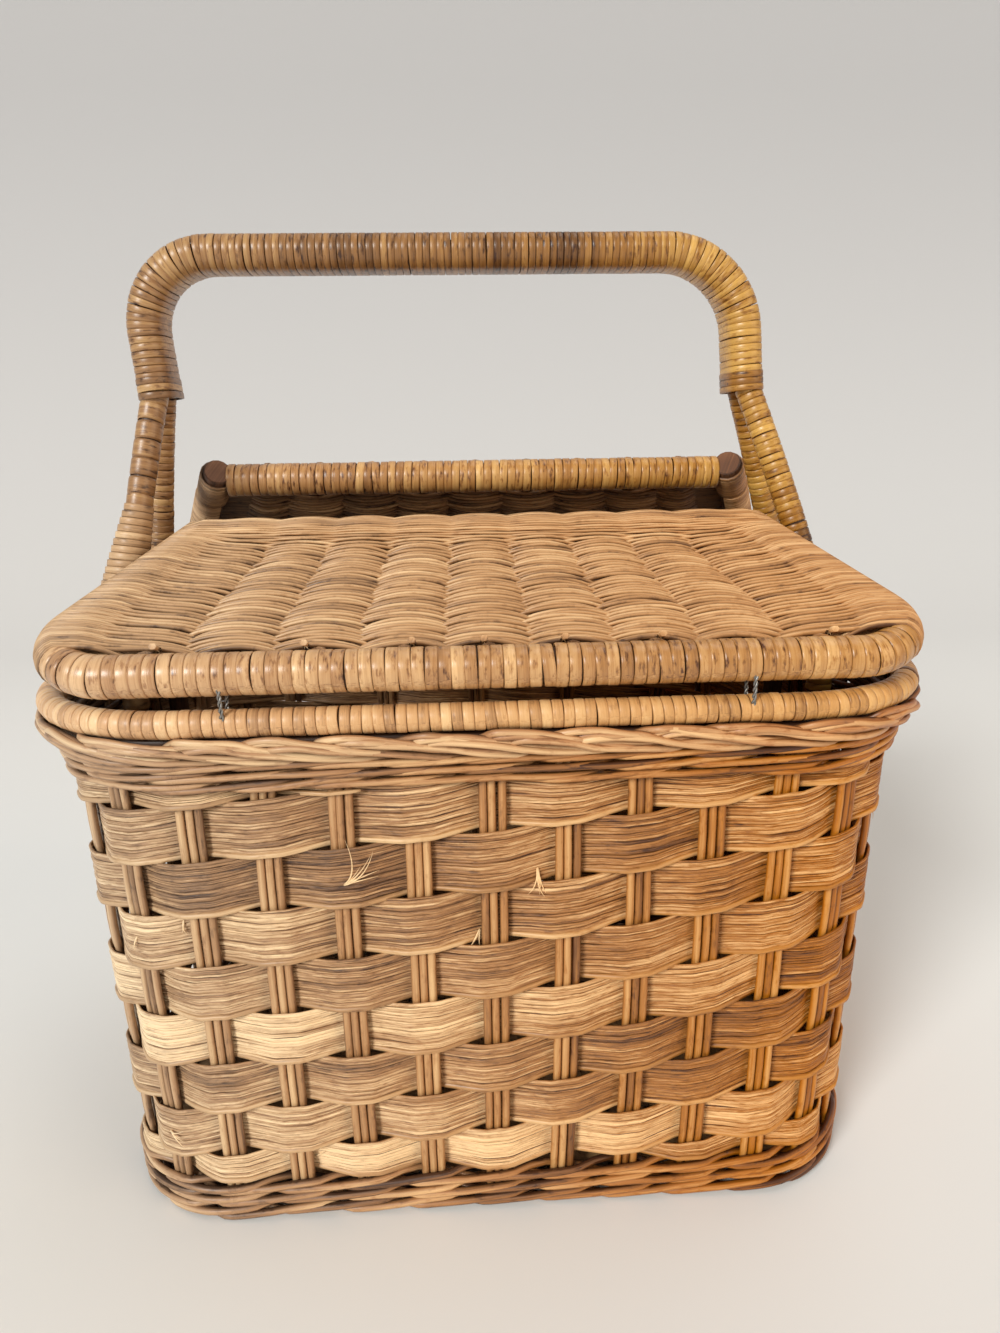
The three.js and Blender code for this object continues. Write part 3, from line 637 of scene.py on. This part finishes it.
def add_wraps(strands, core, first, second, loop, pitch, tone, closed=False, spread=.09, lump=.07):
    """Turns of flat cane round a core: first and second are the two cross directions along it."""
    lengths = lengths_along(core, closed)
    points, normals = loop
    total = lengths[-1]
    count = max(int(round(total / pitch)), 1)
    where = (np.arange(count) + .5) * total / count
    centre = at_length(core, lengths, where, closed)
    a = unit(at_length(first, lengths, where, closed))
    b = unit(at_length(second, lengths, where, closed))
    t = np.cross(a, b)
    bend = 0 * t
    if count > 2:
        bend = np.gradient(unit(np.gradient(centre, axis=0)), axis=0) * count / total
    tones = np.interp(where / total, *tone) if isinstance(tone, tuple) else tone
    tones = tones + rng.normal(0, spread, count) + wander(count, max(count // 9, 3), spread)
    width = total / count / 2
    for k in range(count):
        grow = 1 + rng.normal(0, lump) / np.abs(points).max()
        slant = width * (WRAP_TILT + rng.normal(0, .1))
        lean = slant * np.sin(np.arctan2(normals[:, 1], normals[:, 0]) + rng.normal(0, .4))
        path = centre[k] + (points[:, :1] * a[k] + points[:, 1:] * b[k]) * grow + lean[:, None] * t[k]
        out = normals[:, :1] * a[k] + normals[:, 1:] * b[k]
        fan = width * rng.uniform(.95, 1.02) * (1 - (path - centre[k]) @ bend[k])
        strands.add(path, out, fan, WRAP_THICK, tones[k], WRAP, True, edge=.16)


def make_hoop():
    strands = Strands()
    q = np.arange(STAKES * 12) / 12
    core = wall(q, HOOP_Z, HOOP_OFFSET)
    up = np.tile(UP, (len(q), 1))
    add_wraps(strands, core, outward(q), up, stadium(0, HOOP_RADIUS - .4, 18), 4.1, .58, closed=True)
    strands.build("hoop_wraps", HOOP, "basket", "binding", ["rim_hoop"])


# Handle
def leg_foot_x(z):
    return float(sized(BASE_HALF_X, FLARE_X, z)) - STAKE_FACE - INNER_WALE - GAP - HANDLE_CANE / 2


def leg_x(share):
    foot = leg_foot_x(WALE_TOP)
    return foot + (HANDLE_HALF - foot) * max(share, 0) ** 1.3


def leg_y(share):
    return TOGETHER + (LEG_SPREAD - TOGETHER) * min(1 - share, 1)


def leaned(path):
    lean = HANDLE_LEAN * np.clip((path[:, 2] - RIM_TOP) / (HANDLE_TOP - RIM_TOP), 0, 1)
    return path - np.stack([lean, 0 * lean, 0 * lean], 1)


def leg_route(sign_x, sign_y):
    stops = [(leg_foot_x(z), LEG_SPREAD, z) for z in (RIM_TOP - 85, WALE_TOP - 4.7)]
    for share in (.06, .3, .55, .8, .97):
        stops.append((leg_x(share), leg_y(share), RIM_TOP + share * COLLAR_RISE))
    stops.append((HANDLE_HALF, TOGETHER, COLLAR_Z))
    return leaned(spline(stops, 6) * (sign_x, sign_y, 1))


def arch(y):
    bend = HANDLE_TOP - HANDLE_CORNER
    angle = np.radians(np.linspace(0, 90, 13))
    x = np.concatenate([[HANDLE_HALF], HANDLE_HALF - HANDLE_CORNER * (1 - np.cos(angle))])
    z = np.concatenate([[COLLAR_Z], bend + HANDLE_CORNER * np.sin(angle)])
    half = np.stack([x, np.full(len(x), y), z], 1)
    return leaned(np.vstack([half, half[::-1] * (-1, 1, 1)]))


def cross_axes(path):
    """Directions across a path: one level along y, one square to it."""
    tangent = unit(np.gradient(path, axis=0))
    level = np.tile((0.0, 1.0, 0.0), (len(path), 1))
    level = unit(level - (level * tangent).sum(1, keepdims=True) * tangent)
    return np.cross(tangent, level), level


# Share of the way from the right collar to the left one, and the tone there
BAR_TONE = ((0, .2, .28, .32, .335, .36, .375, .7, .8, 1), (.86, .78, .56, .54, .3, .3, .54, .54, .62, .54))
COLLAR_ENDS = (349.5, 358.5)
# Height on the front left leg, and how far its pale turns swell there
FOOT_SWELL = ((224, 240, 262, 302), (1.2, 3.2, 4.4, 0))


def spread_foot(route):
    """Narrow pale turns that swell towards the foot of the front left leg."""
    strands = Strands()
    a, b = cross_axes(route)
    for z in np.arange(FOOT_SWELL[0][0], FOOT_SWELL[0][-1], 3.1):
        swell = np.interp(z, *FOOT_SWELL)
        centre, first, second = (at_length(v, route[:, 2], np.array([z]))[0] for v in (route, a, b))
        centre = centre - (.75 * swell, 0, 0)
        points, normals = stadium(0, HANDLE_CANE / 2 + .6 + swell, 16)
        ring = centre + points[:, :1] * first + points[:, 1:] * second
        spokes = normals[:, :1] * first + normals[:, 1:] * second
        strands.add(ring, spokes, 1.62, .5, .6 + rng.normal(0, .07), WRAP, True)
    strands.build("spread_foot", LID, "basket", "binding", ["foot_binding_fl"])


def make_handle():
    canes, wraps = Strands(), Strands()
    for y in (-1, 1):
        path = np.vstack([leg_route(1, y), arch(y * TOGETHER)[1:-1], leg_route(-1, y)[::-1]])
        canes.add(path, (0, 1, 0), HANDLE_CANE / 2 - .3, HANDLE_CANE / 2 - .3, .5, circle(12))
    core = arch(0.0)
    a, b = cross_axes(core)
    loop = stadium(TOGETHER, HANDLE_CANE / 2 + 2.4, 28)
    add_wraps(wraps, core, a, b, loop, 3.1, BAR_TONE, spread=.06, lump=.04)
    for x in (-1, 1):
        for y in (-1, 1):
            route = leg_route(x, y)
            route = route[route[:, 2] > WALE_TOP - 6]
            a, b = cross_axes(route)
            pitch, spread = 3.4, .08
            if (x, y) == (-1, -1):
                pitch, spread = 8.0, .03
                spread_foot(route)
            loop = stadium(0, HANDLE_CANE / 2 + .2, 16)
            add_wraps(wraps, route, a, b, loop, pitch, .62 + .1 * x, spread=spread, lump=.04)
        collar = leaned(np.array([(x * HANDLE_HALF, 0, z) for z in COLLAR_ENDS], float))
        a, b = cross_axes(collar)
        add_wraps(wraps, collar, a, b, stadium(TOGETHER, HANDLE_CANE / 2 + 2.8, 28), 3.0, .5)
    canes.build("handle_canes", RAIL, "basket", "handle", nodes_named("handle_cane"))
    wraps.build("handle_wraps", HANDLE, "basket", "binding", nodes_named("handle_binding", "foot_binding"))


BRIDGE_CANES, BRIDGE_THICK = 4, 2.9


def make_bridge():
    strands = Strands()
    low, high = (np.array(corner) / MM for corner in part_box("bridge"))
    width = (high[1] - low[1]) / BRIDGE_CANES
    height = (low[2] + high[2]) / 2
    for k in range(BRIDGE_CANES):
        y = low[1] + width * (k + .5)
        path = np.stack([np.linspace(low[0], high[0], 24), np.full(24, y), np.full(24, height)], 1)
        strands.add(path, UP, width / 2, BRIDGE_THICK, .5 + rng.normal(0, .1), circle(10))
    strands.build("bridge_canes", RAIL, "basket", "rail", ["bridge"])


# Lids, x across, y from the hinge rod, z up
LID_TURN = math.pi / 2 + math.atan(RAIL_LEAN)
FILLET_X = RAIL_ROOT - LID_CORNER * math.tan(LID_TURN / 2)
CROSS_HALF = 124.2
WEAVE_END = 96
ROW_PITCH_LID = 1.14
ROW_STEPS, RAIL_STEPS = 88, 13
ROW_HEIGHT, ROW_HEIGHT_ON_ROD = 3.1, 1.3
ROW_HALF, ROW_HALF_ON_RAIL = .86, .55
LEFT, RIGHT = (-1, 1, 1), (1, 1, 1)


def lid_path():
    """Middle line of the bent frame rod, from the left rail's end to the right one's."""
    angle = np.linspace(0, LID_TURN, 15) - math.pi / 2
    half = np.stack([FILLET_X + LID_CORNER * np.cos(angle), LID_CORNER * (1 + np.sin(angle)), 0 * angle], 1)
    half = np.vstack([half, [(RAIL_ROOT - RAIL_LEAN * v, v, 0) for v in np.linspace(45, LID_LENGTH, 8)]])
    return np.vstack([half[::-1] * (-1, 1, 1), half])


def rail_at(v):
    """Middle of the right rail at distance v from the hinge rod, and its outward direction."""
    fillet_end = LID_CORNER * (1 + math.sin(LID_TURN - math.pi / 2))
    if v < fillet_end:
        y = (v - LID_CORNER) / LID_CORNER
        x = math.sqrt(max(1 - y * y, 0))
        return FILLET_X + LID_CORNER * x, np.array([x, y, 0])
    lean = math.atan(RAIL_LEAN)
    return RAIL_ROOT - RAIL_LEAN * v, np.array([math.cos(lean), math.sin(lean), 0])


def panel_rows(covered):
    """Place and upward direction of each row across the panel; some panels go on over the cross rod."""
    arc = np.radians(np.linspace(152, 62, 20))
    radius = ROD_OUTER + 1.5
    over = np.stack([CROSS_V + radius * np.cos(arc), radius * np.sin(arc)], 1)
    line = np.array([(9.7, 1.5), (12.5, .4), (30, 0), (60, 0), (88, 0), (95.5, 1.2)])
    line = np.vstack([line, over]) if covered else line
    lengths = lengths_along(line)
    rows = int(lengths[-1] / ROW_PITCH_LID)
    where = np.linspace(0, lengths[-1], rows)
    place = at_length(line, lengths, where)
    slope = unit(np.gradient(place, axis=0))
    return place, np.stack([-slope[:, 1], slope[:, 0]], 1)


def wrapped_rail(v, strand_radius):
    """Arc of a strand round the right rail, from below up to its top."""
    x, out = rail_at(v)
    angle = np.radians(np.linspace(-125, 82, RAIL_STEPS))[:, None]
    reach = LID_ROD / 2 + strand_radius
    return np.array([x, v, 0]) + reach * (np.cos(angle) * out + np.sin(angle) * UP)


def lid_strand(strands, k, place, normal, tone):
    """One row: over and under the ribs, then up and round both rails. Rib number p runs from 0 to 8."""
    v, w = place
    on_rod = np.clip((v - WEAVE_END) / 8, 0, 1)
    arch_height = ROW_HEIGHT * (1 - on_rod) + ROW_HEIGHT_ON_ROD * on_rod
    side = wrapped_rail(v, 1.2)
    edge = side[-1]
    p = np.linspace(-.8, 8.8, ROW_STEPS)
    x = (p - 4) / 5 * rail_at(v)[0]
    swing = (1 if k % 2 else -1) * np.cos(math.pi * (p + wander(ROW_STEPS, 16, .035)))
    swing = np.sign(swing) * np.abs(swing) ** .8
    swing = swing * (1 - on_rod) + (np.abs(np.cos(math.pi * p)) ** .8 - .6) * on_rod
    near = np.clip((np.abs(p - 4) - 3.9) / .9, 0, 1)
    near = near * near * (3 - 2 * near)
    level = w + arch_height * swing * normal[1]
    level = level * (1 - near) + np.maximum(edge[2], w) * near
    y = v + arch_height * swing * normal[0] * (1 - near) + (edge[1] - v) * near
    inner = np.stack([x, y, level], 1)
    path = np.vstack([side * LEFT, inner, side[::-1]])
    out = np.zeros_like(path)
    out[:, 1], out[:, 2] = normal
    middle = np.array([rail_at(v)[0], v, 0])
    out[:RAIL_STEPS] = (side - middle) * LEFT
    out[-RAIL_STEPS:] = (side - middle)[::-1]
    between = slice(RAIL_STEPS, -RAIL_STEPS)
    width = np.full(len(path), ROW_HALF_ON_RAIL)
    width[between] = ROW_HALF * (.66 + .34 * np.abs(swing)) * (1 - near) + ROW_HALF_ON_RAIL * near
    path[between, 1] += wander(ROW_STEPS, 14, .22)
    strands.add(path, out, width, .95, tone, SLIM, edge=.24)


def rail_ring(strands, v, tone):
    """A turn of strand round both rails."""
    x, out = rail_at(v)
    angle = np.radians(np.arange(0, 360, 24))[:, None]
    spoke = np.cos(angle) * out + np.sin(angle) * UP
    ring = np.array([x, v, 0]) + (LID_ROD / 2 + .9) * spoke
    for mirror in (RIGHT, LEFT):
        strands.add(ring * mirror, spoke * mirror, .62, .8, tone, SLIM, True)


RIB_TIP = np.array([(0, 3.4, .4), (0, 1.2, 3.0), (0, -1.6, 5.2)])


def lid_ribs(strands):
    """Ribs under the weave. Those beside a hinge wire stop short of it, the others show a tip at the rod."""
    for rib in range(RIBS):
        share = (rib - 4) / 5
        by_wire = abs(abs(share) * rail_at(10)[0] - HINGE_HALF) < 8
        v = np.linspace(13 if by_wire else 6.5, CROSS_V + 2, 30)
        half = np.array([rail_at(max(s, 10))[0] for s in v])
        rise = np.interp(v, [6.5, 14, 94, CROSS_V], [4.2, 0, 0, 7.0])
        path = np.stack([share * half, v, rise], 1)
        strands.add(path, UP, 3.0, 1.9, .4 + rng.normal(0, .1), circle(8))
        if not by_wire:
            tip = path[0] + RIB_TIP + (rng.normal(0, 3), 0, 0)
            strands.add(tip, (0, -1, 1), 1.5, 1.2, .7 + rng.normal(0, .12), SLIM)


def lid_painted_shade_strips(strands):
    """Painted shade: dark strips in the middle of the panel, standing in for the shade seen through the
    pinholes between its strands.
    """
    for v in np.arange(12, WEAVE_END + 1, 3.4):
        x = np.linspace(-.82, .82, 12) * rail_at(v)[0]
        strands.add(np.stack([x, np.full(12, v), 0 * x], 1), UP, 1.9, .2, .16, FLAT, edge=0)


def lid_edges(strands):
    """Short strands beside the rails, under the rows that rise to them."""
    for v in np.arange(9, WEAVE_END + 1, 1.3):
        x = np.linspace(.74, .985, 8) * rail_at(v)[0]
        path = np.stack([x, np.full(8, v), np.linspace(0, 2.2, 8)], 1)
        for mirror in (RIGHT, LEFT):
            strands.add(path * mirror, UP, .78, .7, .48, SLIM, edge=.24)


# Share of the way along a cross rod, and the tone there
CROSS_TONE = ((0, .5, .8, 1), (.74, .68, .56, .46))


def make_lid(name, place, covered):
    """The pieces of one lid: rods, bindings and weave."""
    rods = Strands()
    radius = LID_ROD / 2
    path = lid_path()
    rods.add(path, UP, radius, radius, .5, circle(16))
    cross = np.array([(x, CROSS_V, 0) for x in np.linspace(-CROSS_HALF, CROSS_HALF, 12)])
    rods.add(cross, UP, radius - .2, radius - .2, .5, circle(14))
    for end in (path[:2], path[:-3:-1]):
        away = unit(end[0] - end[1])
        disc = end[0] + away * np.array([[-.5], [.35]])
        rods.add(disc, UP, radius - .5, radius - .5, .62, circle(16), edge=.2)
    rods.build(f"{name}_rails", RAIL, name, "rail", nodes_named(f"{name}_frame", f"{name}_cross_rod"), place)

    bound = Strands()
    loop = stadium(0, ROD_OUTER - .6, 20)
    rod = path[path[:, 1] < 11]
    tangent = unit(np.gradient(rod, axis=0))
    up = np.tile(UP, (len(rod), 1))
    add_wraps(bound, rod, np.cross(tangent, up), up, loop, 4.7, .73, spread=.1)
    bound.build(f"{name}_rod_wraps", ROD, name, "binding", [f"{name}_rod_binding"], place)

    bound = Strands()
    level, up = np.tile((0.0, -1.0, 0.0), (len(cross), 1)), np.tile(UP, (len(cross), 1))
    add_wraps(bound, cross, level, up, loop, 4.0, CROSS_TONE, spread=.06)
    bound.build(f"{name}_cross_wraps", CROSS, name, "binding", [f"{name}_cross_binding"], place)

    panel = Strands()
    places, normals = panel_rows(covered)
    tones = .6 + wander(len(places), 30, .06) + rng.normal(0, .06, len(places))
    for k in range(len(places)):
        drift = wander(ROW_STEPS + 2 * RAIL_STEPS, 18, .08)
        lid_strand(panel, k, places[k], normals[k], tones[k] + drift)
    if not covered:
        for v in np.arange(WEAVE_END + .5, LID_LENGTH - 2.5, 1.2):
            rail_ring(panel, v, .5 + rng.normal(0, .08))
    lid_ribs(panel)
    lid_painted_shade_strips(panel)
    lid_edges(panel)
    panel.build(f"{name}_weave", LID, name, "lid", [f"{name}_panel"], place, LID_PAINTED_SHADE_DRIFT)


def turn_x(degrees):
    return np.array(Matrix.Rotation(math.radians(degrees), 3, "X"))


def make_lids():
    make_lid("front_lid", (turn_x(LID_SLOPE), np.array([0, -ROD_Y, ROD_Z])), True)
    half_turn = np.array(Matrix.Rotation(math.pi, 3, "Z"))
    make_lid("rear_lid", (half_turn @ turn_x(REAR_SLOPE), np.array([0, ROD_Y, ROD_Z])), False)


# Hinges and base
WIRE_RADIUS, WIRE_TWISTS, WIRE_STEPS = .48, 14, 120


def make_hinges():
    """Two twisted wires round each lid's rod and the hoop, as one loop at each hinge."""
    hoop_y = float(sized(BASE_HALF_Y, FLARE_Y, HOOP_Z)) + HOOP_OFFSET
    for side, sign in (("front", -1), ("rear", 1)):
        for hand, x in (("left", -HINGE_HALF), ("right", HINGE_HALF)):
            upper, lower = np.array([sign * ROD_Y, ROD_Z]), np.array([sign * hoop_y, HOOP_Z])
            axis = upper - lower
            lean = math.atan2(axis[1], axis[0])
            big, small = ROD_OUTER - 1.4, HOOP_RADIUS - 1.3
            turn = math.acos((big - small) / np.linalg.norm(axis))
            top = lean + np.linspace(-turn, turn, 22)
            under = lean + np.linspace(turn, 2 * math.pi - turn, 22)
            ring = np.vstack([upper + big * np.stack([np.cos(top), np.sin(top)], 1),
                              lower + small * np.stack([np.cos(under), np.sin(under)], 1)])
            lengths = lengths_along(ring, True)
            where = np.linspace(0, lengths[-1], WIRE_STEPS, endpoint=False)
            ring = at_length(ring, lengths, where, True)
            wires = Strands()
            for phase in (0, math.pi):
                twist = where * 2 * math.pi * WIRE_TWISTS / lengths[-1] + phase
                path = np.stack([x + .5 * np.cos(twist), ring[:, 0], ring[:, 1]], 1)
                centre = (upper + lower) / 2
                out = unit(ring - centre)
                path[:, 1:] += .4 * np.sin(twist)[:, None] * out
                spoke = np.stack([0 * where, out[:, 0], out[:, 1]], 1)
                wires.add(path, spoke, WIRE_RADIUS, WIRE_RADIUS, .5, SLIM, True)
            wires.build(f"hinge_{side}_{hand}", WIRE, "basket", "wire", [f"hinge_loop_{side}_{hand}"])


MAT_HALF_X, MAT_HALF_Y, MAT_CORNER, MAT_Z = 156.0, 101.0, 43.0, 10.85
MAT_STEPS = 90


def make_base():
    """A mat of flat splints, in plain weave."""
    strands = Strands()
    corner = MAT_CORNER
    runs = ((MAT_HALF_X, MAT_HALF_Y, 10.2), (MAT_HALF_Y, MAT_HALF_X, 9.8))
    for axis, (half, other, pitch) in enumerate(runs):
        count = int(2 * other / pitch)
        for k in range(count):
            across = (k - (count - 1) / 2) * 2 * other / count
            over = max(abs(across) - (other - corner), 0)
            reach = half - corner + math.sqrt(max(corner ** 2 - over ** 2, 1))
            s = np.linspace(-reach, reach, MAT_STEPS)
            wave = .55 * np.cos(math.pi * (s / (pitch if axis else 9.98) + k)) * (1 if axis else -1)
            path = np.stack([s, np.full(MAT_STEPS, across), MAT_Z + wave], 1)
            if axis:
                path = path[:, [1, 0, 2]]
            strands.add(path, UP, pitch * .47, .5, .5 + rng.normal(0, .1), FLAT)
    strands.build("base_weave", BASE, "basket", "base", ["base_mat"])


make_stakes()
make_weave()
make_wales()
make_border()
make_hoop()
make_handle()
make_bridge()
make_lids()
make_hinges()
make_base()


# Stage, light and camera
def paper(name, near, far):
    """Backdrop paper, pale under the object and greyer behind it."""
    material = bpy.data.materials.new(name)
    material.use_nodes = True
    nodes, link = material.node_tree.nodes, material.node_tree.links.new
    shader = nodes["Principled BSDF"]
    place = nodes.new("ShaderNodeTexCoord")
    split = nodes.new("ShaderNodeSeparateXYZ")
    link(place.outputs["Object"], split.inputs[0])
    depth = nodes.new("ShaderNodeMapRange")
    depth.inputs["From Min"].default_value = .3
    depth.inputs["From Max"].default_value = 2.2
    link(split.outputs["Y"], depth.inputs["Value"])
    ramp = nodes.new("ShaderNodeValToRGB")
    ramp.color_ramp.elements[0].color = near
    ramp.color_ramp.elements[1].color = far
    link(depth.outputs["Result"], ramp.inputs["Fac"])
    link(ramp.outputs["Color"], shader.inputs["Base Color"])
    shader.inputs["Roughness"].default_value = .8
    return material


def make_stage():
    profile = [(-4.0, 0.0), (1.0, 0.0)]
    for k in range(1, 17):
        angle = math.radians(90 * k / 16)
        profile.append((1.0 + 1.2 * math.sin(angle), 1.2 * (1 - math.cos(angle))))
    profile.append((2.2, 5.0))
    points = [(x, y, z) for y, z in profile for x in (-6.0, 6.0)]
    faces = [(2 * k, 2 * k + 1, 2 * k + 3, 2 * k + 2) for k in range(len(profile) - 1)]
    mesh = bpy.data.meshes.new("floor")
    mesh.from_pydata(points, [], faces)
    mesh.polygons.foreach_set("use_smooth", [True] * len(faces))
    mesh.materials.append(paper("floor", (.80, .80, .79, 1), (.44, .44, .45, 1)))
    floor = bpy.data.objects.new("floor", mesh)
    bpy.context.scene.collection.objects.link(floor)


def add_light(name, place, spread, power, colour):
    """Even light from the direction of a place, as from a large far softbox."""
    data = bpy.data.lights.new(name, "SUN")
    data.angle = math.radians(spread)
    data.energy = power
    data.color = colour
    lamp = bpy.data.objects.new(name, data)
    lamp.location = place
    aim = Vector((0, 0, .2)) - Vector(place)
    lamp.rotation_euler = aim.to_track_quat("-Z", "Y").to_euler()
    bpy.context.scene.collection.objects.link(lamp)


# The photo's camera: turn as a rotation vector, place in millimetres, focal length and height in pixels
CAMERA_TURN, CAMERA_PLACE = (.251, -.0215, .0499), (-11.9, -444.1, 332.7)
PHOTO_FOCAL, PHOTO_HEIGHT = 911.6, 1333
SENSOR = 36


def make_camera():
    turn = Vector(CAMERA_TURN)
    axes = Quaternion(turn.normalized(), turn.length).to_matrix()
    data = bpy.data.cameras.new("camera")
    data.lens = SENSOR * PHOTO_FOCAL / PHOTO_HEIGHT
    data.sensor_width = SENSOR
    camera = bpy.data.objects.new("camera", data)
    pose = Matrix((axes[0], axes[2], -axes[1])).transposed().to_4x4()
    pose.translation = Vector(CAMERA_PLACE) * MM
    camera.matrix_world = pose
    bpy.context.scene.collection.objects.link(camera)
    bpy.context.scene.camera = camera


def make_world():
    world = bpy.data.worlds.new("studio")
    world.use_nodes = True
    back = world.node_tree.nodes["Background"]
    back.inputs["Color"].default_value = (1, .97, .93, 1)
    back.inputs["Strength"].default_value = .3
    bpy.context.scene.world = world


make_stage()
make_world()
add_light("key", (-1.2, -1.5, 1.2), 20, 2.8, (.98, .99, .96))
add_light("fill", (1.6, -1.1, .9), 40, .95, (1, .76, .52))
add_light("top", (.5, .2, 1.9), 35, .5, (1, .95, .88))
make_camera()
bpy.context.scene.view_settings.view_transform = "Standard"
